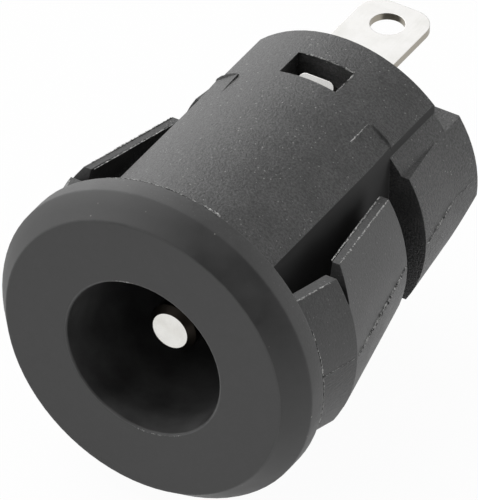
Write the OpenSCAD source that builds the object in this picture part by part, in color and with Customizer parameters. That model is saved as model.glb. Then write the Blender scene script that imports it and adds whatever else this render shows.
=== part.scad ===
// Snap-in panel socket for a round direct-current plug.
// The plug's axis lies along Y: the mouth looks along -Y and the tags point along +Y.
// The origin is the centre of the flange's rear face, where the panel's front skin lies.

/* [Flange] */
// Outer diameter of the flange
flange_d = 13.5; // [12.6:0.1:16]
// Thickness of the flange, from the panel to the front face
flange_t = 1.85; // [1.4:0.05:2.8]
// Diameter of the flat front face, inside the bevel
face_d = 11.96; // [9:0.1:12.4]
// Length of the bevel along the axis
bevel_l = 0.92; // [0.4:0.02:1.2]
// Small break on the rim's two edges
rim_break = 0.07; // [0.02:0.01:0.15]

/* [Socket] */
// Diameter of the socket's bore
bore_d = 6.65; // [6:0.05:7]
// Depth of the socket below the front face
bore_depth = 10.05; // [8:0.05:10.3]
// Break on the edge of the socket's mouth
mouth_break = 0.06; // [0.02:0.01:0.2]

/* [Housing] */
// Diameter of the round body, just under the panel hole
body_d = 10.96; // [10.6:0.02:11.4]
// How far the round body stops short of the rear face
rear_step = 1.1; // [0.6:0.01:1.6]
// Width of the round body across its two flat sides
core_w = 7.62; // [7.4:0.02:8]
// Break round the body's rear end
body_break = 0.06; // [0.03:0.01:0.2]
// Diameter of the rear plug, between its flats
plug_d = 10.38; // [9.6:0.02:10.6]
// Height of the rear plug across its flats
plug_h = 5.72; // [5:0.02:6.4]
// Distance from the panel seat to the rear face
rear_l = 13.95; // [13.6:0.05:15]
// Distance from the panel seat to the front of the guide blocks
guide_y = 9.55; // [9.2:0.05:9.8]
// Length of the ramp that runs back from the guide blocks' front
ramp_l = 2.6; // [1.5:0.05:2.9]
// How far the lower rear corners are cut back at the rear face
corner_in = 0.6; // [0.3:0.02:1]
// Length of the slanting cut on the lower rear corners
corner_l = 3; // [1.5:0.1:4]
// Tilt of that cut below the wings' middle plane
corner_tilt = 33; // [25:1:45]
// Depth of the recess that each latch insert leaves in the flange's rear face
insert_mark = 0.05; // [0.02:0.01:0.1]
// Height of the insert's witness step on the body
step_h = 0.07; // [0.02:0.01:0.12]
// Length over which the witness step rises
step_l = 1.25; // [0.5:0.05:2]
// Width of the fine groove that the insert leaves behind the step
step_groove = 0.09; // [0.03:0.01:0.15]
// Distance of the witness step's side from the middle
step_x = 2.85; // [2.4:0.05:3.3]

/* [Latch wings] */
// Width of a wing from its root to its crest
wing_w = 6.7; // [5.6:0.05:6.9]
// Width of a wing just behind its crest
wing_crest_w = 7.2; // [6.9:0.05:7.4]
// Width of a wing at its free end
wing_end_w = 6; // [5:0.05:6.6]
// Distance of a wing's crest from the socket's axis
crest_r = 6.7; // [6.3:0.02:6.74]
// Distance from the panel seat to the crest
crest_y = 2.47; // [1.8:0.02:3.2]
// How far the wing's root stands inside the crest
root_in = 0.62; // [0.3:0.02:0.8]
// Distance from the panel seat to the wing's free end
wing_l = 7.95; // [6.8:0.05:8.4]
// How far the wing's free end stands inside the crest
end_in = 1.1; // [0.9:0.02:1.3]
// Thickness of a wing's edge beside its crest
crest_edge_t = 0.32; // [0.24:0.02:0.5]
// How much thicker a wing is along its middle at its root than at its crest
root_thicker = 0.1; // [-0.1:0.02:0.2]
// How much thinner a wing is along its middle at its free end than at its crest
end_thinner = 0.17; // [0:0.01:0.3]
// Width of the relief notch at the wing's edge
notch_w = 0.62; // [0.3:0.02:1]
// Depth of the relief notch from the root's edge
notch_l = 1.05; // [0.6:0.05:1.6]

/* [Lance window] */
// Width of the window in the body
window_w = 2.46; // [2.1:0.02:2.7]
// Length of the window along the axis
window_l = 1.4; // [1.3:0.05:1.8]
// Distance from the panel seat to the window's front edge
window_y = 9.88; // [9.7:0.02:10.2]

/* [Contacts] */
// Thickness of the contact strip
strip_t = 0.3; // [0.2:0.02:0.36]
// Width of the solder tags
tag_w = 3; // [2.4:0.1:3.1]
// Radius of the tags' corners
tag_corner = 0.95; // [0.3:0.05:1.15]
// Diameter of the wire holes in the tags
wire_hole_d = 1.36; // [0.9:0.02:1.6]
// Distance from the panel seat to the tags' ends
tag_end_y = 17.1; // [16.6:0.1:20]
// Distance from a tag's end to the middle of its wire hole
wire_hole_in = 1.32; // [1.1:0.02:1.8]
// Height of the sleeve tag's middle above the axis
sleeve_tag_z = 4.15; // [4.05:0.02:4.2]
// Depth of the pin tag's middle below the axis
pin_tag_z = 2.05; // [1.8:0.05:2.3]
// Width of the sleeve contact's spring arm
arm_w = 1.8; // [1.4:0.1:1.9]
// Distance of the arm's touching bend from the axis, just inside the plug's sleeve
touch_z = 2.6; // [2.4:0.05:2.75]
// Distance from the panel seat to the touching bend
touch_y = 4.2; // [3.8:0.1:4.8]
// Width of the lance that locks the strip in the body
lance_w = 1.55; // [1.2:0.05:1.8]
// Rise of the lance above the strip
lance_rise = 0.8; // [0.5:0.05:0.9]
// Gap beside the lance, where it was cut free
lance_gap = 0.1; // [0.05:0.01:0.2]
// Clearance round the strip in its channel
strip_gap = 0.03; // [0.02:0.01:0.05]
// Clearance beside the spring arm
arm_gap = 0.15; // [0.1:0.01:0.3]

/* [Centre pin] */
// Diameter of the centre pin
pin_d = 2; // [1.6:0.05:2.5]
// Distance of the pin's tip behind the front face
pin_recess = 1.95; // [1:0.05:3]
// Size of the chamfer on the pin's tip
pin_chamfer = 0.25; // [0.1:0.01:0.4]
// Diameter of the pin's shank in the rear wall
shank_d = 1.5; // [1.2:0.05:1.55]
// Diameter of the shank's staked head
head_d = 2.3; // [2:0.05:2.8]
// Height of the staked head
head_t = 0.36; // [0.2:0.02:0.6]
// Radial clearance of the shank in the rear wall and the tag
shank_gap = 0.02; // [0.02:0.01:0.05]

/* [Hidden] */
$fn = 96;

cut = 0.01;                              // how far a fine cutter runs past what it cuts
past = 1;                                // how far a deep cutter or a keeping shape runs past the part
body_r = body_d / 2;
body_l = rear_l - rear_step;
plug_r = plug_d / 2;
core_x = core_w / 2;
seat_reach = flange_d;                   // larger than any radius of the part
socket_floor_y = bore_depth - flange_t;
pin_tip_y = pin_recess - flange_t;
bend_r = 0.32;                           // radius of the strip's bends, along its middle
arm_root_y = socket_floor_y - bend_r;    // the arm bends down just in front of the socket's floor
wide_y = socket_floor_y + 0.4;           // the strip widens behind the socket's floor
arm_end_y = touch_y - 1.7;               // the arm's lead-in runs forward of its touching bend
arm_end_z = touch_z + 0.95;              // and rises away from the plug
arm_room = 0.5;                          // free length of the arm's groove in front of its tip
groove_z = 0.4 * bore_d;                 // a height inside the bore, where the arm's groove opens
channel_z = sleeve_tag_z + strip_t / 2 + strip_gap;
lance_y = window_y + 0.08;               // the lance's bend lies just behind the window's front edge
lance_l = lance_rise;                    // the lance stands at 45 degrees
lance_corner = 0.2 * lance_w;            // radius of the lance's corners
head_side_t = 0.4 * head_t;              // height of the staked head's upright side
head_top_r = 0.35 * head_d;              // radius of the staked head's flat top
mark_margin = 0.25;                      // how far an insert's recess reaches past the wing's sides
notch_lead = 0.08;                       // how far a notch's mouth starts in front of the crest
notch_root_w = 0.06;                     // width of a notch at its inner end
crest_inner_x = sqrt(crest_r * crest_r - wing_crest_w * wing_crest_w / 4) - crest_edge_t;

plastic = [0.20, 0.20, 0.21];
plated = [0.82, 0.81, 0.78];

// A profile of [radius, y] points turned round the Y axis
module turned(points) {
    rotate([-90, 0, 0]) rotate_extrude() polygon(points);
}

// A flat shape of [y, z] points given a width along X, centred on X = 0
module along_x(width) {
    translate([-width / 2, 0, 0]) rotate([90, 0, 90]) linear_extrude(width) children();
}

// A box that is centred on X = 0 and spans y0 to y1 and z0 to z1
module bar(width, y0, y1, z0, z1) {
    translate([-width / 2, y0, z0]) cube([width, y1 - y0, z1 - z0]);
}

// Both sides of what is modelled on the +X side
module both_sides() {
    children();
    mirror([1, 0, 0]) children();
}

function unit(v) = v / norm(v);
function turn(v, a) = [v[0] * cos(a) - v[1] * sin(a), v[0] * sin(a) + v[1] * cos(a)];
function cross2(a, b) = a[0] * b[1] - a[1] * b[0];

// Points and normals of a bend of radius r at corner c, between the points p and q
function bend(p, c, q, r, steps = 6) =
    let(a = unit(p - c), b = unit(q - c), half = acos(a * b) / 2)
    let(side = cross2(a, b) > 0 ? 1 : -1)
    let(centre = c + unit(a + b) * r / sin(half))
    let(first = unit(c + a * r / tan(half) - centre), sweep = side * (2 * half - 180))
    [for (i = [0 : steps]) let(n = turn(first, sweep * i / steps)) [centre + n * r, n * side]];

// The outline of a strip of thickness t whose middle runs through the path's points
function strip_outline(path, t, r) =
    let(last = len(path) - 1)
    let(n0 = turn(unit(path[1] - path[0]), 90), n1 = turn(unit(path[last] - path[last - 1]), 90))
    let(inner = [for (k = [1 : 1 : last - 1]) each bend(path[k - 1], path[k], path[k + 1], r)])
    let(line = concat([[path[0], n0]], inner, [[path[last], n1]]))
    concat([for (s = line) s[0] + s[1] * t / 2],
           [for (i = [len(line) - 1 : -1 : 0]) line[i][0] - line[i][1] * t / 2]);

// The flat plan of a tag that ends at tag_end_y with two round corners
module tag_plan(y0) {
    translate([-tag_w / 2, y0]) square([tag_w, tag_end_y - tag_corner - y0]);
    translate([-tag_w / 2 + tag_corner, y0]) square([tag_w - 2 * tag_corner, tag_end_y - y0]);
    for (s = [-1, 1]) translate([s * (tag_w / 2 - tag_corner), tag_end_y - tag_corner]) circle(tag_corner);
}

// The round hole for the wire, through a tag at height z
module wire_hole(z) {
    translate([0, tag_end_y - wire_hole_in, z - strip_t]) cylinder(d = wire_hole_d, h = 2 * strip_t);
}

// The flange, bevelled to a flat front face
module flange() {
    turned([[0, -flange_t], [face_d / 2, -flange_t],
            [flange_d / 2 - rim_break / 2, bevel_l - flange_t],
            [flange_d / 2, bevel_l - flange_t + rim_break],
            [flange_d / 2, -rim_break], [flange_d / 2 - rim_break, 0], [0, 0]]);
}

// The round body with its two flat sides, and the insert's witness steps near its edges
module round_body() {
    intersection() {
        turned([[0, -cut], [body_r, -cut], [body_r, body_l - body_break],
                [body_r - body_break, body_l], [0, body_l]]);
        bar(core_w, -past, body_l + past, -body_r, body_r);
    }
    intersection() {
        turned([[body_r - step_h, guide_y - step_l], [body_r, guide_y - step_l],
                [body_r + step_h, guide_y], [body_r - step_h, guide_y]]);
        step_strips();
    }
}

// The strips of the body that the witness steps and their grooves lie in
module step_strips() {
    both_sides() translate([step_x, 0, -seat_reach / 2]) cube([core_x - step_x, body_l, seat_reach]);
}

// The fine groove behind each witness step
module step_grooves() {
    intersection() {
        turned([[body_r - step_h, guide_y], [seat_reach / 2, guide_y],
                [seat_reach / 2, guide_y + step_groove], [body_r - step_h, guide_y + step_groove]]);
        step_strips();
    }
}

// The round shoulders behind the latch windows, and the flatted plug with its ramps
module rear_plug() {
    turned([[0, guide_y], [plug_r, guide_y], [plug_r, body_l - body_break],
            [plug_r - body_break, body_l], [0, body_l]]);
    intersection() {
        turned([[0, guide_y], [body_r, guide_y], [plug_r, guide_y + ramp_l],
                [plug_r, rear_l - body_break], [plug_r - body_break, rear_l], [0, rear_l]]);
        bar(seat_reach, guide_y - past, rear_l + past, -plug_h / 2, plug_h / 2);
    }
}

// The wing's round skin, which flares out to the crest and closes in to the free end
module wing_skin() {
    turned([[0, -crest_y], [crest_r - 2 * root_in, -crest_y], [crest_r, crest_y],
            [crest_r - end_in, wing_l], [0, wing_l]]);
}

// What lies outside the wing's flat inner faces, seen from above
module wing_plan() {
    translate([0, 0, -wing_crest_w]) linear_extrude(2 * wing_crest_w)
        polygon([[crest_inner_x - root_in - root_thicker, -2 * insert_mark], [crest_inner_x, crest_y],
                 [crest_inner_x - end_in + end_thinner, wing_l], [seat_reach, wing_l],
                 [seat_reach, -2 * insert_mark]]);
}

// The wing's outline seen from the side, with a relief notch beside each end of the crest
module wing_side() {
    difference() {
        translate([core_x, 0, 0]) rotate([90, 0, 90]) linear_extrude(crest_r)
            polygon([[-2 * insert_mark, -wing_w / 2], [crest_y, -wing_w / 2], [crest_y, -wing_crest_w / 2],
                     [wing_l, -wing_end_w / 2], [wing_l, wing_end_w / 2], [crest_y, wing_crest_w / 2],
                     [crest_y, wing_w / 2], [-2 * insert_mark, wing_w / 2]]);
        wing_notch();
        mirror([0, 0, 1]) wing_notch();
    }
}

// The relief beside the crest that lets the wing's corner flex
module wing_notch() {
    translate([core_x - past, 0, 0]) rotate([90, 0, 90]) linear_extrude(crest_r + past)
        polygon([[crest_y - notch_lead, wing_crest_w / 2 + cut],
                 [crest_y - notch_root_w / 2, wing_w / 2 - notch_l],
                 [crest_y + notch_root_w / 2, wing_w / 2 - notch_l],
                 [crest_y - notch_lead + notch_w, wing_crest_w / 2 + cut]]);
}

// One latch wing
module wing() {
    intersection() {
        wing_skin();
        wing_plan();
        wing_side();
    }
}

// The slanting cut on each lower rear corner
module corner_cut() {
    rotate([0, corner_tilt, 0]) translate([0, 0, -seat_reach / 2]) linear_extrude(seat_reach)
        polygon([[body_r, rear_l - corner_l], [plug_r - corner_in, rear_l], [plug_r - corner_in, rear_l + past],
                 [seat_reach, rear_l + past], [seat_reach, rear_l - corner_l]]);
}

// The shallow recess round each wing's root
module insert_recess() {
    translate([core_x, -insert_mark, -wing_w / 2 - mark_margin])
        cube([seat_reach, insert_mark + cut, wing_w + 2 * mark_margin]);
}

// The channel that the sleeve contact slides into from behind, and its arm's groove
module contact_channel() {
    bar(tag_w + 2 * strip_gap, wide_y, rear_l, sleeve_tag_z - strip_t / 2 - strip_gap, channel_z);
    bar(arm_w + 2 * arm_gap, arm_end_y - arm_room, wide_y + cut, groove_z, channel_z);
    bar(window_w, window_y, window_y + window_l, sleeve_tag_z, body_r + past);
}

// The pocket in the rear face that keeps the pin tag from turning
module tag_pocket() {
    bar(tag_w + 2 * strip_gap, rear_l - strip_t, rear_l + cut,
        -pin_tag_z - strip_t / 2 - strip_gap, tag_w / 2 + strip_gap);
}

// The socket with its broken mouth, and the hole for the pin's shank behind it
module socket_bore() {
    turned([[0, -flange_t - cut], [bore_d / 2 + mouth_break + cut, -flange_t - cut],
            [bore_d / 2, mouth_break - flange_t], [bore_d / 2, socket_floor_y], [0, socket_floor_y]]);
    turned([[0, 0], [shank_d / 2 + shank_gap, 0], [shank_d / 2 + shank_gap, rear_l + past],
            [0, rear_l + past]]);
}

// The one-piece moulded housing
module housing() {
    color(plastic) difference() {
        union() {
            difference() {
                flange();
                both_sides() insert_recess();
            }
            round_body();
            rear_plug();
            both_sides() wing();
        }
        socket_bore();
        contact_channel();
        tag_pocket();
        both_sides() corner_cut();
        step_grooves();
    }
}

// Stamped strip: solder tag, body with a locking lance, and a spring arm that bows into the socket
module sleeve_contact() {
    color(plated) {
        difference() {
            intersection() {
                along_x(tag_w) polygon(strip_outline([[tag_end_y, sleeve_tag_z], [arm_root_y, sleeve_tag_z],
                    [touch_y, touch_z + strip_t / 2], [arm_end_y, arm_end_z]], strip_t, bend_r));
                union() {
                    linear_extrude(seat_reach) tag_plan(wide_y);
                    bar(arm_w, arm_end_y - past, wide_y + cut, 0, seat_reach);
                }
            }
            wire_hole(sleeve_tag_z);
            bar(lance_w + 2 * lance_gap, lance_y, lance_y + lance_l * sqrt(2), 0, seat_reach);
        }
        lance();
    }
}

// The lance is cut free on three sides and bent up at 45 degrees, with round corners at its tip
module lance() {
    tip = [lance_y + lance_l, sleeve_tag_z + lance_rise];
    intersection() {
        along_x(lance_w) polygon(strip_outline([[lance_y - strip_t, sleeve_tag_z], [lance_y, sleeve_tag_z],
            tip], strip_t, bend_r));
        translate([0, lance_y, sleeve_tag_z]) rotate([45, 0, 0]) translate([0, 0, -lance_l])
            linear_extrude(2 * lance_l) lance_plan(lance_l * sqrt(2));
    }
}

// The lance's flat plan, with its two round corners
module lance_plan(length) {
    translate([-lance_w / 2, -past]) square([lance_w, past + length - lance_corner]);
    translate([-lance_w / 2 + lance_corner, -past]) square([lance_w - 2 * lance_corner, past + length]);
    for (s = [-1, 1]) translate([s * (lance_w / 2 - lance_corner), length - lance_corner]) circle(lance_corner);
}

// Turned pin: chamfered tip, shoulder on the socket's floor, shank staked over the tag
module centre_pin() {
    color(plated) turned([[0, pin_tip_y], [pin_d / 2 - pin_chamfer, pin_tip_y],
        [pin_d / 2, pin_tip_y + pin_chamfer], [pin_d / 2, socket_floor_y],
        [shank_d / 2, socket_floor_y], [shank_d / 2, rear_l], [head_d / 2, rear_l],
        [head_d / 2, rear_l + head_side_t], [head_top_r, rear_l + head_t], [0, rear_l + head_t]]);
}

// Stamped tag: an upright plate under the pin's head, bent back into a solder tag
module pin_tag() {
    plate_y = rear_l - strip_t / 2;
    color(plated) difference() {
        intersection() {
            along_x(tag_w) polygon(strip_outline([[plate_y, tag_w / 2], [plate_y, -pin_tag_z],
                [tag_end_y, -pin_tag_z]], strip_t, bend_r));
            translate([0, 0, -seat_reach / 2]) linear_extrude(seat_reach) tag_plan(rear_l - past);
        }
        wire_hole(-pin_tag_z);
        rotate([-90, 0, 0]) cylinder(r = shank_d / 2 + shank_gap, h = rear_l + past);
    }
}

housing();
sleeve_contact();
centre_pin();
pin_tag();
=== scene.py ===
import math

import bmesh
import bpy
import numpy as np
from mathutils import Matrix, Vector


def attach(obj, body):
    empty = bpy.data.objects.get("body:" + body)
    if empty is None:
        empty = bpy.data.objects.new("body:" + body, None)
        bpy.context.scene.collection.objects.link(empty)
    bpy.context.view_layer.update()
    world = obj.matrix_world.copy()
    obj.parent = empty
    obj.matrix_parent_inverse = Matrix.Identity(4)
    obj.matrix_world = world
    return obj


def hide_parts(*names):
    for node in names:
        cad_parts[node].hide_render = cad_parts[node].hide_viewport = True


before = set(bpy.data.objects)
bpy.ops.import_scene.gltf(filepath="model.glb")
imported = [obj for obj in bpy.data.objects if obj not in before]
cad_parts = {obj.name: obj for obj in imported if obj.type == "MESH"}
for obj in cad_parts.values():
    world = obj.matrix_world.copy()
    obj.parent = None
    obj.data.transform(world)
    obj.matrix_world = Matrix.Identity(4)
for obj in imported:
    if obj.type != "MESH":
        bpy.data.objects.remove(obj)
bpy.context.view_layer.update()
mm = 0.001  # every size below is in millimetres and is turned to metres with this
print("frame loaded")

cameraView = {
    "place": (169.95, -281.47, 261.47),  # mm, in front of the mouth, to its right and above it
    "right": (0.85476, 0.51886, 0.01298),
    "back": (0.40164, -0.67710, 0.61663),
    "lens": 851.6,  # mm, a long lens from far away, so the flange stays a true ellipse
    "sensor": 36.0,  # mm
    "clip": (0.01, 10),  # m
}


def makeCamera(view):
    data = bpy.data.cameras.new("camera")
    data.sensor_fit = "HORIZONTAL"
    data.sensor_width = view["sensor"]
    data.lens = view["lens"]
    data.clip_start, data.clip_end = view["clip"]
    camera = bpy.data.objects.new("camera", data)
    bpy.context.scene.collection.objects.link(camera)
    back = Vector(view["back"]).normalized()
    right = Vector(view["right"])
    right = (right - right.dot(back) * back).normalized()
    turn = Matrix((right, back.cross(right), back)).transposed().to_4x4()
    camera.matrix_world = Matrix.Translation(Vector(view["place"]) * mm) @ turn
    bpy.context.scene.camera = camera


makeCamera(cameraView)
print("camera placed")


def hexColour(text):
    # each channel of an sRGB hex value turned to linear light
    srgb = [int(text[i:i + 2], 16) / 255 for i in (1, 3, 5)]
    linear = [c / 12.92 if c <= 0.04045 else ((c + 0.055) / 1.055) ** 2.4 for c in srgb]
    return (*linear, 1.0)


noiseSpan = (0.3, 0.7)  # nearly all values of a noise pattern lie between these


def grey(value):
    return (value, value, value, 1.0)


def cells(millimetres):
    # a texture scale of one cell for each length in millimetres, on coordinates in metres
    return 1.0 / (millimetres * mm)


def addNode(tree, kind, settings=None, inputs=None, stops=()):
    # a node with its settings, its plain values, its links from other nodes' sockets, and the
    # (place, colour) stops of its colour ramp
    node = tree.nodes.new(kind)
    for name, value in (settings or {}).items():
        setattr(node, name, value)
    for name, value in (inputs or {}).items():
        if isinstance(value, bpy.types.NodeSocket):
            tree.links.new(value, node.inputs[name])
        else:
            node.inputs[name].default_value = value
    if stops:
        elements = node.color_ramp.elements
        elements.remove(elements[-1])
        elements[0].position, elements[0].color = stops[0]
        for place, colour in stops[1:]:
            elements.new(place).color = colour
    return node


def newMaterial(name):
    material = bpy.data.materials.new(name)
    material.use_nodes = True
    tree = material.node_tree
    tree.nodes.clear()
    shader = addNode(tree, "ShaderNodeBsdfPrincipled")
    output = addNode(tree, "ShaderNodeOutputMaterial", None, {"Surface": shader.outputs["BSDF"]})
    return material, tree, shader, output


def drawnLines(tree, place, lengths, detail):
    # noise drawn out to the given lengths in mm along X, Y and Z
    stretched = addNode(tree, "ShaderNodeMapping", None, {
        "Vector": place, "Scale": tuple(cells(length) for length in lengths)}).outputs["Vector"]
    return addNode(tree, "ShaderNodeTexNoise", None, {
        "Vector": stretched, "Scale": 1.0, "Detail": detail, "Roughness": 0.6}).outputs["Fac"]


def scatteredSpots(tree, place, spots, where):
    # one round spot in each chosen cell: full at its middle, weaker at the fade and nothing at
    # the end, times a share that tells where spots may lie
    cell = addNode(tree, "ShaderNodeTexVoronoi", {"feature": "F1"}, {
        "Vector": place, "Scale": cells(spots["apart"]), "Randomness": 1.0})
    fade, strength, end = spots["fade"]
    spot = addNode(tree, "ShaderNodeValToRGB", None, {"Fac": cell.outputs["Distance"]}, [
        (0.0, grey(1)), (fade, grey(strength)), (end, grey(0))]).outputs["Color"]
    none, full = spots["chosen"]
    chosen = addNode(tree, "ShaderNodeValToRGB", None, {"Fac": cell.outputs["Color"]}, [
        (0.0, grey(0)), (none, grey(0)), (full, grey(1))]).outputs["Color"]
    for mask in (chosen, where):
        spot = addNode(tree, "ShaderNodeMath", {"operation": "MULTIPLY"}, {0: spot, 1: mask}).outputs[0]
    return spot


nylonLook = {
    "dark": "#232323",
    "pale": "#3a3a3a",
    "mottle": 1.4,  # mm, slow changes of tone and sheen where the glass fibre comes near the skin
    "rough": (0.44, 0.56),
    "ior": 1.53,
    "specular": 0.68,
    "grain": 0.09,  # mm between the pits of the eroded mould, a little coarser than real so that it shows
    "grainPaintedShade": (0.4, 2.5),  # painted shade on the pits' floors and painted light on their peaks, as shares of the colour
    "grainSpan": (0.32, 0.68),  # the noise's values that are a floor and a peak
    "grainDepth": 0.045,  # mm
    "crumbs": {  # the pale edges of single pits
        "colour": "#8c8c8a", "apart": 0.17,  # mm
        "fade": (0.14, 0.8, 0.2),  # where a spot fades, how strong it is there, and where it ends, in cells
        "chosen": (0.6, 0.74),  # cells whose random value is under the first have none
    },
    "dust": {"colour": "#a9a7a1", "apart": 0.42, "fade": (0.05, 0.85, 0.09), "chosen": (0.72, 0.86)},
    "edge": 0.045,  # mm, the radius that every moulded edge has
    "flangeEdge": 0.14,  # mm, and the flange's own, which is rounder to the touch
    "flangeEdgeEnd": (-0.15, 0.0),  # mm along Y, where the flange's radius changes to the body's
    "rubbedAndLitEdge": "#737371",  # rubbed edges, with a painted highlight along every edge
    "litEdgeTurn": (0.985, 0.9),  # the cosine of an edge's turn where the rubbed colour and painted highlight start and where they are full
    "litEdgeMost": 0.45,  # how much of the rubbed and painted-highlight colour a full turn gets, before the mottle's share
    "flangeEnd": (-0.95, 0.05),  # mm along Y, where the flange's finish changes to the body's
    "flangeShare": 0.05,  # the flange's part of the mould is finer, so it shows this share of the grain
    "flangeRough": 1.15,  # and this share of the roughness
    "boreRadius": 3.4,  # mm, the socket's core pin is polished, so its wall shows no grain
    "boreEnd": 8.3,  # mm along Y, the rear end of that wall
    "borePaintedLight": 2.5,  # how much paler the socket's wall is painted, painted light that stands in for light reaching into the dark bore
    "wingRadius": (5.55, 5.6),  # mm, the wings lie outside this radius
    "wingShare": 0.35,  # the slides that form the wings are worn, so they show this share of the grain
    "coreX": 3.81,  # mm, the core's flat sides lie at this distance
    "coreSlack": 0.03,  # mm to either side of it
    "coreTurn": 0.95,  # how squarely they face X
    "coreRough": 1.8,  # they are rubbed dull, with this share of the roughness
    "drag": (0.07, 2.5, 0.07),  # mm, long scuffs where the slides of the mould drew off
    "dragDepth": 0.035,  # mm
    "dragHeight": (0.3, -0.2),  # mm along Z, the scuffs lie below this
}


def nylonRegions(tree, look, place, flatNormal):
    # told by a point's place: the grain's share on the flange and body and its share on the
    # wings, and two masks that are 0 on the socket's wall and on the core's flat sides
    split = addNode(tree, "ShaderNodeSeparateXYZ", None, {"Vector": place})
    x, y, z = (split.outputs[axis] for axis in "XYZ")
    across = addNode(tree, "ShaderNodeCombineXYZ", None, {"X": x, "Z": z}).outputs[0]
    radius = addNode(tree, "ShaderNodeVectorMath", {"operation": "LENGTH"}, {0: across}).outputs["Value"]
    near, far = look["flangeEnd"]
    body = addNode(tree, "ShaderNodeMapRange", None, {
        "Value": y, "From Min": near * mm, "From Max": far * mm,
        "To Min": look["flangeShare"], "To Max": 1.0}).outputs["Result"]
    near, far = look["wingRadius"]
    wing = addNode(tree, "ShaderNodeMapRange", None, {
        "Value": radius, "From Min": near * mm, "From Max": far * mm,
        "To Min": 1.0, "To Max": look["wingShare"]}).outputs["Result"]
    outside = addNode(tree, "ShaderNodeMath", {"operation": "GREATER_THAN"}, {
        0: radius, 1: look["boreRadius"] * mm}).outputs[0]
    beyond = addNode(tree, "ShaderNodeMath", {"operation": "GREATER_THAN"}, {
        0: y, 1: look["boreEnd"] * mm}).outputs[0]
    offBore = addNode(tree, "ShaderNodeMath", {"operation": "MAXIMUM"}, {0: outside, 1: beyond}).outputs[0]
    sideways = addNode(tree, "ShaderNodeMath", {"operation": "ABSOLUTE"}, {0: x}).outputs[0]
    inPlane = addNode(tree, "ShaderNodeMath", {"operation": "COMPARE"}, {
        0: sideways, 1: look["coreX"] * mm, 2: look["coreSlack"] * mm}).outputs[0]
    facing = addNode(tree, "ShaderNodeSeparateXYZ", None, {"Vector": flatNormal}).outputs["X"]
    facing = addNode(tree, "ShaderNodeMath", {"operation": "ABSOLUTE"}, {0: facing}).outputs[0]
    square = addNode(tree, "ShaderNodeMath", {"operation": "GREATER_THAN"}, {
        0: facing, 1: look["coreTurn"]}).outputs[0]
    onCore = addNode(tree, "ShaderNodeMath", {"operation": "MULTIPLY"}, {0: inPlane, 1: square}).outputs[0]
    offCore = addNode(tree, "ShaderNodeMath", {"operation": "SUBTRACT"}, {0: 1.0, 1: onCore}).outputs[0]
    return {"y": y, "z": z, "body": body, "wing": wing, "offBore": offBore, "offCore": offCore}


def nylonColour(tree, look, place, regions, pitted, grain, mottle, turn):
    # the mottled skin, painted paler on the socket's wall as painted light, with painted shade and light
    # from its pits, then pit edges, rubbed edges with a painted highlight, and dust laid over it
    low, high = noiseSpan
    shade = addNode(tree, "ShaderNodeValToRGB", None, {"Fac": mottle}, [
        (low, hexColour(look["dark"])), (high, hexColour(look["pale"]))]).outputs["Color"]
    # painted light: the socket's wall is painted paler by this share
    paintedBoreLight = addNode(tree, "ShaderNodeMapRange", None, {
        "Value": regions["offBore"], "To Min": look["borePaintedLight"], "To Max": 1.0}).outputs["Result"]
    shade = addNode(tree, "ShaderNodeVectorMath", {"operation": "SCALE"}, {
        0: shade, "Scale": paintedBoreLight}).outputs[0]
    low, high = look["grainSpan"]
    floor, peak = look["grainPaintedShade"]
    # painted shade in the pits and painted light on their peaks, from the same noise as their relief
    pitPaintedShade = addNode(tree, "ShaderNodeValToRGB", None, {"Fac": grain}, [
        (low, grey(floor)), (high, grey(peak))]).outputs["Color"]
    shade = addNode(tree, "ShaderNodeMix", {"data_type": "RGBA", "blend_type": "MULTIPLY"}, {
        "Factor": pitted, 6: shade, 7: pitPaintedShade}).outputs[2]
    # rubbed edges and a painted highlight: every edge, convex and hollow alike, is painted paler as far as
    # its rounded slope turns
    start, full = look["litEdgeTurn"]
    rubbedAndLitEdges = addNode(tree, "ShaderNodeMapRange", None, {
        "Value": turn, "From Min": start, "From Max": full, "To Max": look["litEdgeMost"]}).outputs["Result"]
    rubbedAndLitEdges = addNode(tree, "ShaderNodeMath", {"operation": "MULTIPLY"}, {0: rubbedAndLitEdges, 1: mottle}).outputs[0]
    layers = [
        (scatteredSpots(tree, place, look["crumbs"], pitted), look["crumbs"]["colour"]),
        (rubbedAndLitEdges, look["rubbedAndLitEdge"]),
        (scatteredSpots(tree, place, look["dust"], regions["offBore"]), look["dust"]["colour"]),
    ]
    for cover, colour in layers:
        shade = addNode(tree, "ShaderNodeMix", {"data_type": "RGBA"}, {
            "Factor": cover, 6: shade, 7: hexColour(colour)}).outputs[2]
    return shade


def nylonRoughness(tree, look, regions, mottle):
    # the mottle's range of sheen, times the flange's share and the core's
    low, high = noiseSpan
    smooth, coarse = look["rough"]
    rough = addNode(tree, "ShaderNodeValToRGB", None, {"Fac": mottle}, [
        (low, grey(smooth)), (high, grey(coarse))]).outputs["Color"]
    near, far = look["flangeEnd"]
    flange = addNode(tree, "ShaderNodeMapRange", None, {
        "Value": regions["y"], "From Min": near * mm, "From Max": far * mm,
        "To Min": look["flangeRough"], "To Max": 1.0}).outputs["Result"]
    core = addNode(tree, "ShaderNodeMapRange", None, {
        "Value": regions["offCore"], "To Min": look["coreRough"], "To Max": 1.0}).outputs["Result"]
    for share in (flange, core):
        rough = addNode(tree, "ShaderNodeMath", {"operation": "MULTIPLY"}, {0: rough, 1: share}).outputs[0]
    return rough


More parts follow.
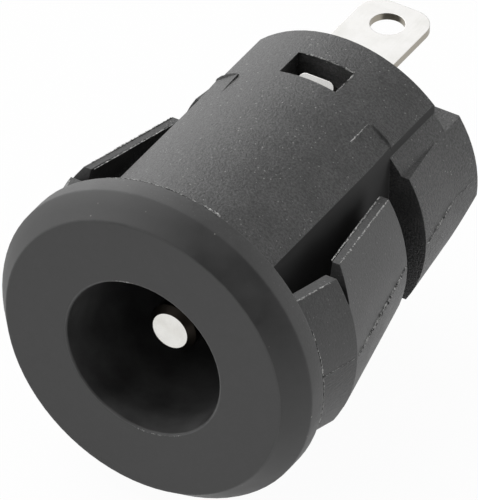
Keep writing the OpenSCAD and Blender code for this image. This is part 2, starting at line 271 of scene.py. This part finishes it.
def nylonRelief(tree, look, place, regions, pitted, grain, rounded):
    # the pits on the rounded edges' slope, and on that the scuffs of the lower half
    pits = addNode(tree, "ShaderNodeBump", None, {
        "Strength": pitted, "Distance": look["grainDepth"] * mm, "Height": grain,
        "Normal": rounded}).outputs["Normal"]
    top, bottom = look["dragHeight"]
    scuffed = addNode(tree, "ShaderNodeMapRange", None, {
        "Value": regions["z"], "From Min": top * mm, "From Max": bottom * mm}).outputs["Result"]
    for mask in (regions["body"], regions["offBore"]):
        scuffed = addNode(tree, "ShaderNodeMath", {"operation": "MULTIPLY"}, {
            0: scuffed, 1: mask}).outputs[0]
    return addNode(tree, "ShaderNodeBump", None, {
        "Strength": scuffed, "Distance": look["dragDepth"] * mm,
        "Height": drawnLines(tree, place, look["drag"], detail=2.0), "Normal": pits}).outputs["Normal"]


def makeNylon(look):
    # glass-filled black nylon, moulded in a spark-eroded tool: a satin grey-black whose fine
    # pitted skin scatters light at low angles, a smoother flange, soft edges and pale dust, with
    # painted shade and light on its pits, painted highlights on its rubbed edges and painted light on the
    # socket's wall
    material, tree, shader, _ = newMaterial("mouldedGlassFilledNylon")
    place = addNode(tree, "ShaderNodeTexCoord").outputs["Object"]
    flatNormal = addNode(tree, "ShaderNodeNewGeometry").outputs["Normal"]
    grain = addNode(tree, "ShaderNodeTexNoise", None, {
        "Vector": place, "Scale": cells(look["grain"]), "Detail": 2.0, "Roughness": 0.7}).outputs["Fac"]
    mottle = addNode(tree, "ShaderNodeTexNoise", None, {
        "Vector": place, "Scale": cells(look["mottle"]), "Detail": 5.0, "Roughness": 0.6}).outputs["Fac"]
    regions = nylonRegions(tree, look, place, flatNormal)
    pitted = regions["body"]
    for mask in (regions["wing"], regions["offBore"], regions["offCore"]):
        pitted = addNode(tree, "ShaderNodeMath", {"operation": "MULTIPLY"}, {0: pitted, 1: mask}).outputs[0]

    near, far = look["flangeEdgeEnd"]
    radius = addNode(tree, "ShaderNodeMapRange", None, {
        "Value": regions["y"], "From Min": near * mm, "From Max": far * mm,
        "To Min": look["flangeEdge"] * mm, "To Max": look["edge"] * mm}).outputs["Result"]
    rounded = addNode(tree, "ShaderNodeBevel", {"samples": 8}, {"Radius": radius}).outputs["Normal"]
    turn = addNode(tree, "ShaderNodeVectorMath", {"operation": "DOT_PRODUCT"}, {
        0: rounded, 1: flatNormal}).outputs["Value"]

    colour = nylonColour(tree, look, place, regions, pitted, grain, mottle, turn)
    tree.links.new(colour, shader.inputs["Base Color"])
    tree.links.new(nylonRoughness(tree, look, regions, mottle), shader.inputs["Roughness"])
    relief = nylonRelief(tree, look, place, regions, pitted, grain, rounded)
    tree.links.new(relief, shader.inputs["Normal"])
    shader.inputs["IOR"].default_value = look["ior"]
    shader.inputs["Specular IOR Level"].default_value = look["specular"]
    return material


flashLook = {
    "dark": "#3c3d3e",
    "pale": "#c4c4c2",
    "grit": 0.12,  # mm between the torn crumbs
    "gritSpan": (0.42, 0.62),  # the noise's values that are fully dark and fully pale
    "rough": 0.6,
    "ior": 1.53,
}


def makeFlashNylon(look):
    # the same nylon where it squeezed out between the mould's halves and tore: pale and crumbly
    material, tree, shader, _ = newMaterial("tornNylonFlash")
    place = addNode(tree, "ShaderNodeTexCoord").outputs["Object"]
    grit = addNode(tree, "ShaderNodeTexNoise", None, {
        "Vector": place, "Scale": cells(look["grit"]), "Detail": 3.0, "Roughness": 0.7}).outputs["Fac"]
    low, high = look["gritSpan"]
    shade = addNode(tree, "ShaderNodeValToRGB", None, {"Fac": grit}, [
        (low, hexColour(look["dark"])), (high, hexColour(look["pale"]))]).outputs["Color"]
    tree.links.new(shade, shader.inputs["Base Color"])
    shader.inputs["Roughness"].default_value = look["rough"]
    shader.inputs["IOR"].default_value = look["ior"]
    return material


nickelLook = {
    "bright": "#d9d8d6",
    "dull": "#d2d1ce",
    "cloud": 0.9,  # mm, faint clouds in the plating
    "cloudSpan": (0.3, 0.55),  # the noise's values that are fully dull and fully bright
    "rough": (0.12, 0.24),
    "lines": (0.06, 1.2, 0.06),  # mm, the rolling lines run along the strip
    "scratchDepth": 0.006,  # mm
    "scratchShare": 0.15,
    "edge": 0.03,  # mm, the radius left by tumbling before plating
    "bareAndPaintedShade": "#a09a8e",  # the punched edges, where the brass shows through torn plate, darkened further as painted shade
    "bareAndShadedRough": 0.35,
    "sideTurn": 0.6,  # a strip's side faces X by more than this
    "tagStart": 14.1,  # mm, behind this the strips lie flat, so their edges face away from Z
    "flatTurn": 0.5,  # and face Z by less than this
}

turnedLook = {
    "bright": "#e6e5e1",
    "dull": "#dddbd6",
    "cloud": 0.9,  # mm
    "cloudSpan": (0.3, 0.55),
    "rough": (0.12, 0.24),
    "lines": (0.5, 0.05, 0.5),  # mm, the turning lines run round the pin
    "scratchDepth": 0.006,  # mm
    "scratchShare": 0.15,
    "edge": 0.03,  # mm
    "bareAndPaintedShade": "#3d3833",  # painted shade on the sides and the chamfer, standing in for their dark reflection of the socket, so that only the tip is bright
    "bareAndShadedRough": 0.4,
    "tipTurn": -0.9,  # the flat tip faces along Y by less than this
    "socketEnd": nylonLook["boreEnd"],
}


def punchedEdges(tree, look, facing, along):
    # the strips' sides, which face X, and the tags' whole outline, which faces away from Z
    sideways = addNode(tree, "ShaderNodeMath", {"operation": "ABSOLUTE"}, {0: facing["X"]}).outputs[0]
    side = addNode(tree, "ShaderNodeMath", {"operation": "GREATER_THAN"}, {
        0: sideways, 1: look["sideTurn"]}).outputs[0]
    upwards = addNode(tree, "ShaderNodeMath", {"operation": "ABSOLUTE"}, {0: facing["Z"]}).outputs[0]
    upright = addNode(tree, "ShaderNodeMath", {"operation": "LESS_THAN"}, {
        0: upwards, 1: look["flatTurn"]}).outputs[0]
    onTag = addNode(tree, "ShaderNodeMath", {"operation": "GREATER_THAN"}, {
        0: along, 1: look["tagStart"] * mm}).outputs[0]
    tagEdge = addNode(tree, "ShaderNodeMath", {"operation": "MULTIPLY"}, {0: onTag, 1: upright}).outputs[0]
    return addNode(tree, "ShaderNodeMath", {"operation": "MAXIMUM"}, {0: side, 1: tagEdge}).outputs[0]


def pinSides(tree, look, facing, along):
    # all of the pin inside the socket but its flat tip, which faces the mouth
    side = addNode(tree, "ShaderNodeMath", {"operation": "GREATER_THAN"}, {
        0: facing["Y"], 1: look["tipTurn"]}).outputs[0]
    inSocket = addNode(tree, "ShaderNodeMath", {"operation": "LESS_THAN"}, {
        0: along, 1: look["socketEnd"] * mm}).outputs[0]
    return addNode(tree, "ShaderNodeMath", {"operation": "MULTIPLY"}, {0: side, 1: inSocket}).outputs[0]


def makeNickel(name, look, findBareAndShade):
    # brass under bright nickel plate: near white and slightly warm, with soft fine lines along
    # the way it was rolled or round the way it was turned
    material, tree, shader, _ = newMaterial(name)
    place = addNode(tree, "ShaderNodeTexCoord").outputs["Object"]
    lines = drawnLines(tree, place, look["lines"], detail=3.0)
    cloud = addNode(tree, "ShaderNodeTexNoise", None, {
        "Vector": place, "Scale": cells(look["cloud"]), "Detail": 3.0}).outputs["Fac"]
    low, high = look["cloudSpan"]
    shade = addNode(tree, "ShaderNodeValToRGB", None, {"Fac": cloud}, [
        (low, hexColour(look["dull"])), (high, hexColour(look["bright"]))]).outputs["Color"]
    low, high = noiseSpan
    smooth, coarse = look["rough"]
    rough = addNode(tree, "ShaderNodeValToRGB", None, {"Fac": lines}, [
        (low, grey(smooth)), (high, grey(coarse))]).outputs["Color"]
    normal = addNode(tree, "ShaderNodeNewGeometry").outputs["Normal"]
    facing = addNode(tree, "ShaderNodeSeparateXYZ", None, {"Vector": normal}).outputs
    along = addNode(tree, "ShaderNodeSeparateXYZ", None, {"Vector": place}).outputs["Y"]
    # on the strips, bare brass and painted shade on the punched edges; on the pin, painted shade on all but
    # the tip
    bareAndPaintedShade = findBareAndShade(tree, look, facing, along)
    shade = addNode(tree, "ShaderNodeMix", {"data_type": "RGBA"}, {
        "Factor": bareAndPaintedShade, 6: shade, 7: hexColour(look["bareAndPaintedShade"])}).outputs[2]
    rough = addNode(tree, "ShaderNodeMix", {"data_type": "FLOAT"}, {
        "Factor": bareAndPaintedShade, 2: rough, 3: look["bareAndShadedRough"]}).outputs[0]
    rounded = addNode(tree, "ShaderNodeBevel", {"samples": 6}, {
        "Radius": look["edge"] * mm}).outputs["Normal"]
    relief = addNode(tree, "ShaderNodeBump", None, {
        "Strength": look["scratchShare"], "Distance": look["scratchDepth"] * mm, "Height": lines,
        "Normal": rounded}).outputs["Normal"]
    tree.links.new(shade, shader.inputs["Base Color"])
    tree.links.new(rough, shader.inputs["Roughness"])
    tree.links.new(relief, shader.inputs["Normal"])
    shader.inputs["Metallic"].default_value = 1.0
    return material


nylon = makeNylon(nylonLook)
flashNylon = makeFlashNylon(flashLook)
rolledNickel = makeNickel("nickelPlatedStrip", nickelLook, punchedEdges)
turnedNickel = makeNickel("nickelPlatedTurning", turnedLook, pinSides)
print("materials made")


def addPiece(name, mesh, material):
    mesh.materials.clear()
    mesh.materials.append(material)
    piece = bpy.data.objects.new(name, mesh)
    bpy.context.scene.collection.objects.link(piece)
    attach(piece, "root")
    return piece


smoothing = {
    "weld": 0.0005,  # mm, corners closer than this are one
    "mouldedCrease": 20,  # degrees, an edge that turns by less is shaded round
    "metalCrease": 30,
}


def smoothCopy(name, node, material, crease):
    # the node's loose triangles merged at their corners, with the shading kept round across
    # every edge that turns by less than the crease angle in degrees
    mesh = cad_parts[node].data.copy()
    mesh.name = name
    work = bmesh.new()
    work.from_mesh(mesh)
    weld = smoothing["weld"] * mm
    bmesh.ops.remove_doubles(work, verts=work.verts, dist=weld)
    bmesh.ops.dissolve_degenerate(work, edges=work.edges, dist=weld)
    for face in work.faces:
        face.smooth = True
    for edge in work.edges:
        edge.smooth = len(edge.link_faces) == 2 and edge.calc_face_angle(0) < math.radians(crease)
    work.to_mesh(mesh)
    work.free()
    if "custom_normal" in mesh.attributes:
        mesh.attributes.remove(mesh.attributes["custom_normal"])
    piece = addPiece(name, mesh, material)
    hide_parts(node)


smoothCopy("housingMoulding", "housing", nylon, smoothing["mouldedCrease"])
smoothCopy("sleeveStrip", "sleeve_contact", rolledNickel, smoothing["metalCrease"])
smoothCopy("turnedPin", "centre_pin", turnedNickel, smoothing["metalCrease"])
smoothCopy("pinTagStrip", "pin_tag", rolledNickel, smoothing["metalCrease"])
print("moulding, strips and pin made")

finForm = {
    "stub": 0.08,  # the share of its height that a fin keeps in a gap
    "endPhase": 0.03,  # radians of the half wave left out at each end, so that the ends have an area
    "endPower": 0.3,  # under 1, so that a fin rises fast from its ends
    "sway": 0.6,  # the range over which the tips wander sideways, as a share of the width
    "sunk": 0.02,  # mm that the feet lie under the skin
}


def raggedFin(path, outward, height, width, seed, gaps, torn=1.0):
    # a torn fin along a path of points in mm: each station is a triangle, with two feet set
    # half the width to either side and sunk a little, and a tip that stands out by the height
    # times a share: one less a random part as far as the fin is torn, or the stub in a gap,
    # times a power of the sine of the way along, which runs over half a wave
    count = len(path)
    randoms = np.random.default_rng(seed)
    share = 1 - torn * randoms.random(count)
    phase = np.linspace(finForm["endPhase"], math.pi - finForm["endPhase"], count)
    share = np.where(share < gaps, finForm["stub"], share) * np.sin(phase) ** finForm["endPower"]
    drift = (randoms.random(count) - 0.5) * width * finForm["sway"] * torn
    forward = np.gradient(path, axis=0)
    side = np.cross(outward, forward)
    side /= np.linalg.norm(side, axis=1)[:, None]
    sunk = path - finForm["sunk"] * outward
    half = 0.5 * width * (0.5 + 0.5 * share)
    left = sunk - side * half[:, None]
    right = sunk + side * half[:, None]
    tip = path + outward * (height * share)[:, None] + side * drift[:, None]
    points = np.stack([left, tip, right], axis=1).reshape(-1, 3) * mm
    start = 3 * np.arange(count - 1)
    quads = [np.stack([start + a, start + b, start + b + 3, start + a + 3], axis=1)
             for a, b in ((0, 1), (1, 2), (2, 0))]
    last = 3 * (count - 1)
    faces = np.concatenate(quads).tolist() + [[0, 2, 1], [last, last + 1, last + 2]]
    return points, faces


def joinFins(name, fins, material):
    # one piece of all the fins, with each fin's faces counted on from the points before it
    points = np.concatenate([fin[0] for fin in fins])
    first = np.cumsum([0] + [len(fin[0]) for fin in fins[:-1]])
    faces = [[int(corner + base) for corner in face] for fin, base in zip(fins, first) for face in fin[1]]
    mesh = bpy.data.meshes.new(name)
    mesh.from_pydata(points.tolist(), [], faces)
    work = bmesh.new()
    work.from_mesh(mesh)
    bmesh.ops.recalc_face_normals(work, faces=work.faces)
    work.to_mesh(mesh)
    work.free()
    addPiece(name, mesh, material)


partingFlash = {
    "step": 0.06,  # mm between a fin's stations
    "gaps": 0.15,  # the share of a fin that has broken off
    "seed": 10,
    "lines": [  # (y, radius, z) where each line starts and ends, then its height and width, all in mm
        ((2.62, 6.67, 0.0), (7.85, 5.62, 0.24), 0.1, 0.15),  # along the wing
        ((0.15, 6.12, 0.04), (2.35, 6.67, 0.0), 0.02, 0.05),  # along the wing's root
        ((9.62, 5.47, 0.05), (12.1, 5.20, 0.4), 0.08, 0.13),  # behind the wing
        ((12.1, 5.19, 0.4), (13.8, 5.19, 0.4), 0.02, 0.05),  # and on to the rear end
    ],
}


def flashLine(start, end, height, width, side, spec, seed):
    # the line runs straight between its ends on the round skin, on the side of -X or +X: at a
    # height z its x is the square root of (radius squared less z squared)
    count = int(math.dist(start, end) / spec["step"]) + 2
    y, radius, z = np.linspace(start, end, count).T
    x = side * np.sqrt(radius ** 2 - z ** 2)
    outward = np.stack([x / radius, np.zeros(count), z / radius], axis=1)
    return raggedFin(np.stack([x, y, z], axis=1), outward, height, width, seed, spec["gaps"])


def flashBothSides(spec, lines):
    # every line once on the side of -X and once on +X, torn differently each time
    return [flashLine(*line, side, spec, spec["seed"] + 2 * number + (side > 0))
            for number, line in enumerate(lines) for side in (-1, 1)]


joinFins("partingFlash", flashBothSides(partingFlash, partingFlash["lines"]), flashNylon)

wingEdges = {
    "step": 0.06,  # mm
    "gaps": 0.15,
    "seed": 30,
    "outer": ((3.05, 6.57, 3.53), (7.9, 5.62, 3.01), 0.04, 0.1),  # as for the parting flash
    "root": ((0.1, 6.1, 3.34), (2.25, 6.64, 3.34), 0.03, 0.09),
    "inner": 0.3,  # mm from the outer line to the one along the inner edge
}


def insetLine(start, end, height, width, inset):
    # the same line on a radius that is less by the inset
    return (*((y, radius - inset, z) for y, radius, z in (start, end)), height, width)


edgeLines = (wingEdges["outer"], wingEdges["root"], insetLine(*wingEdges["outer"], wingEdges["inner"]))
joinFins("wingEdgeFlash", flashBothSides(wingEdges, edgeLines), flashNylon)

witness = {
    "radius": 5.5, "y": 9.6,  # mm, the lip lies on the round body
    "first": 31.6, "last": 44.0,  # degrees from +Z
    "height": 0.15, "width": 0.22,  # mm
    "sideX": 2.85, "sideFront": 8.3,  # mm, where the insert's side line starts
    "lineHeight": 0.05, "lineWidth": 0.09,  # mm
    "stations": 16,
    "lipTorn": 0.15, "lineTorn": 0.5,
    "seeds": {"left": 70, "right": 80, "line": 81},
}


def witnessLip(spec, side, seed):
    # an arc round the socket's axis, which the mould's insert leaves on the body
    angle = np.radians(side * np.linspace(spec["first"], spec["last"], spec["stations"]))
    outward = np.stack([np.sin(angle), np.zeros_like(angle), np.cos(angle)], axis=1)
    return raggedFin(outward * spec["radius"] + (0, spec["y"], 0), outward,
                     spec["height"], spec["width"], seed, 0.0, spec["lipTorn"])


def witnessLine(spec, seed):
    # a straight line along Y on the round body, which shows on the right side only
    y = np.linspace(spec["sideFront"], spec["y"], spec["stations"])
    x = np.full_like(y, spec["sideX"])
    z = np.sqrt(spec["radius"] ** 2 - x ** 2)
    outward = np.stack([x, np.zeros_like(y), z], axis=1) / spec["radius"]
    return raggedFin(np.stack([x, y, z], axis=1), outward, spec["lineHeight"], spec["lineWidth"],
                     seed, 0.0, spec["lineTorn"])


lips = [witnessLip(witness, -1, witness["seeds"]["left"]), witnessLip(witness, 1, witness["seeds"]["right"])]
joinFins("insertWitness", lips, nylon)

burrs = {
    "step": 0.05,  # mm between a burr's stations
    "lean": 0.8,  # how far a ring's fin leans forwards for each part that it stands away from the axis
    "ringGaps": 0.55, "ringSeed": 40,
    "rings": [  # (radius, y, first and last angle from +Z towards +X, height, width), degrees and mm
        (6.73, -0.03, 12, 19, 0.08, 0.16),  # three on the flange's rim
        (6.73, -0.03, -24, 10, 0.035, 0.07),
        (6.74, -0.02, 66, 103, 0.03, 0.09),
        (3.40, -1.845, -24, -6, 0.03, 0.07),  # two round the mouth
        (3.40, -1.845, 150, 190, 0.03, 0.05),
    ],
    "windowGaps": 0.4, "windowSeed": 50,
    "window": [  # (x, y) where each burr on the window's edge starts and ends, mm
        ((-0.9, 11.28), (1.23, 11.28)),
        ((1.23, 9.9), (1.23, 11.28)),
    ],
    "windowRadius": 5.48, "windowHeight": 0.07, "windowWidth": 0.1,  # mm
}


def ringBurr(spec, ring, seed):
    # part of a circle round the socket's axis, with the fin standing away from the axis and forwards
    radius, y, first, last, height, width = ring
    count = int(math.radians(last - first) * radius / spec["step"]) + 2
    angle = np.radians(np.linspace(first, last, count))
    outward = np.stack([np.sin(angle), np.full(count, -spec["lean"]), np.cos(angle)], axis=1)
    outward /= math.hypot(1, spec["lean"])
    path = np.stack([radius * np.sin(angle), np.full(count, y), radius * np.cos(angle)], axis=1)
    return raggedFin(path, outward, height, width, seed, spec["ringGaps"])


def windowBurr(spec, start, end, seed):
    # a line between two (x, y) corners on the round body, standing straight up
    count = int(math.dist(start, end) / spec["step"]) + 2
    x, y = np.linspace(start, end, count).T
    z = np.sqrt(spec["windowRadius"] ** 2 - x ** 2)
    path = np.stack([x, y, z], axis=1)
    outward = np.tile((0.0, 0.0, 1.0), (count, 1))
    return raggedFin(path, outward, spec["windowHeight"], spec["windowWidth"], seed, spec["windowGaps"])


fins = [ringBurr(burrs, ring, burrs["ringSeed"] + number) for number, ring in enumerate(burrs["rings"])]
fins += [windowBurr(burrs, *line, burrs["windowSeed"] + number)
         for number, line in enumerate(burrs["window"])]
fins += [witnessLine(witness, witness["seeds"]["line"])]
joinFins("edgeBurrs", fins, flashNylon)
print("flash and burrs made")

table = {
    "drop": 6.76,  # mm below the socket's axis, where the flange's rim touches
    "side": 3000,  # mm
    "colour": "#f2f2f2",
    "rough": 0.9,
    "shown": 0.96,  # how much of the plain white the camera and reflections see instead of the table
}


def makeTable(spec):
    # a matt white table that keeps the object's soft shadow
    side = spec["side"] / 2 * mm
    low = -spec["drop"] * mm
    mesh = bpy.data.meshes.new("table")
    mesh.from_pydata([(-side, -side, low), (side, -side, low), (side, side, low), (-side, side, low)],
                     [], [(0, 1, 2, 3)])
    floor = bpy.data.objects.new("table", mesh)
    bpy.context.scene.collection.objects.link(floor)
    material, tree, shader, output = newMaterial("mattWhiteTable")
    shader.inputs["Base Color"].default_value = hexColour(spec["colour"])
    shader.inputs["Roughness"].default_value = spec["rough"]
    shader.inputs["Specular IOR Level"].default_value = 0.0
    ray = addNode(tree, "ShaderNodeLightPath").outputs
    seen = ray["Is Camera Ray"]
    for kind in ("Is Glossy Ray", "Is Transmission Ray"):
        seen = addNode(tree, "ShaderNodeMath", {"operation": "MAXIMUM"}, {0: seen, 1: ray[kind]}).outputs[0]
    share = addNode(tree, "ShaderNodeMath", {"operation": "MULTIPLY"}, {
        0: seen, 1: spec["shown"]}).outputs[0]
    white = addNode(tree, "ShaderNodeEmission", None, {"Color": grey(1), "Strength": 1.0})
    both = addNode(tree, "ShaderNodeMixShader", None, {
        0: share, 1: shader.outputs["BSDF"], 2: white.outputs["Emission"]})
    tree.links.new(both.outputs["Shader"], output.inputs["Surface"])
    mesh.materials.append(material)


room = {
    "sharpness": 6.0,  # how fast each window's light falls off to its sides
    "windows": [  # the direction and strength of each bright part of the room
        ((-0.66, 0.06, 0.75), 2.8),  # the main window, high on the left
        ((0.74, 0.62, 0.26), 1.6),  # a white wall behind on the right
        ((-0.80, 0.58, 0.14), 2.1),  # a white wall behind on the left
        ((-0.33, -0.91, 0.26), 0.6),  # a weaker wall in front on the left
    ],
}


def makeRoom(spec):
    # the light from a direction is the sum over the windows of each one's strength times
    # e to the power of sharpness times (cosine of the angle to its middle, less one)
    world = bpy.data.worlds.new("room")
    world.use_nodes = True
    tree = world.node_tree
    tree.nodes.clear()
    toward = addNode(tree, "ShaderNodeTexCoord").outputs["Generated"]
    total = 0.0
    for middle, strength in spec["windows"]:
        cosine = addNode(tree, "ShaderNodeVectorMath", {"operation": "DOT_PRODUCT"}, {
            0: toward, 1: Vector(middle).normalized()}).outputs["Value"]
        power = addNode(tree, "ShaderNodeMath", {"operation": "MULTIPLY_ADD"}, {
            0: cosine, 1: spec["sharpness"], 2: -spec["sharpness"]}).outputs[0]
        fall = addNode(tree, "ShaderNodeMath", {"operation": "EXPONENT"}, {0: power}).outputs[0]
        total = addNode(tree, "ShaderNodeMath", {"operation": "MULTIPLY_ADD"}, {
            0: fall, 1: strength, 2: total}).outputs[0]
    light = addNode(tree, "ShaderNodeBackground", None, {"Color": grey(1), "Strength": total})
    addNode(tree, "ShaderNodeOutputWorld", None, {"Surface": light.outputs["Background"]})
    bpy.context.scene.world = world


makeTable(table)
makeRoom(room)
bpy.context.scene.view_settings.view_transform = "Standard"
print("table and room made")
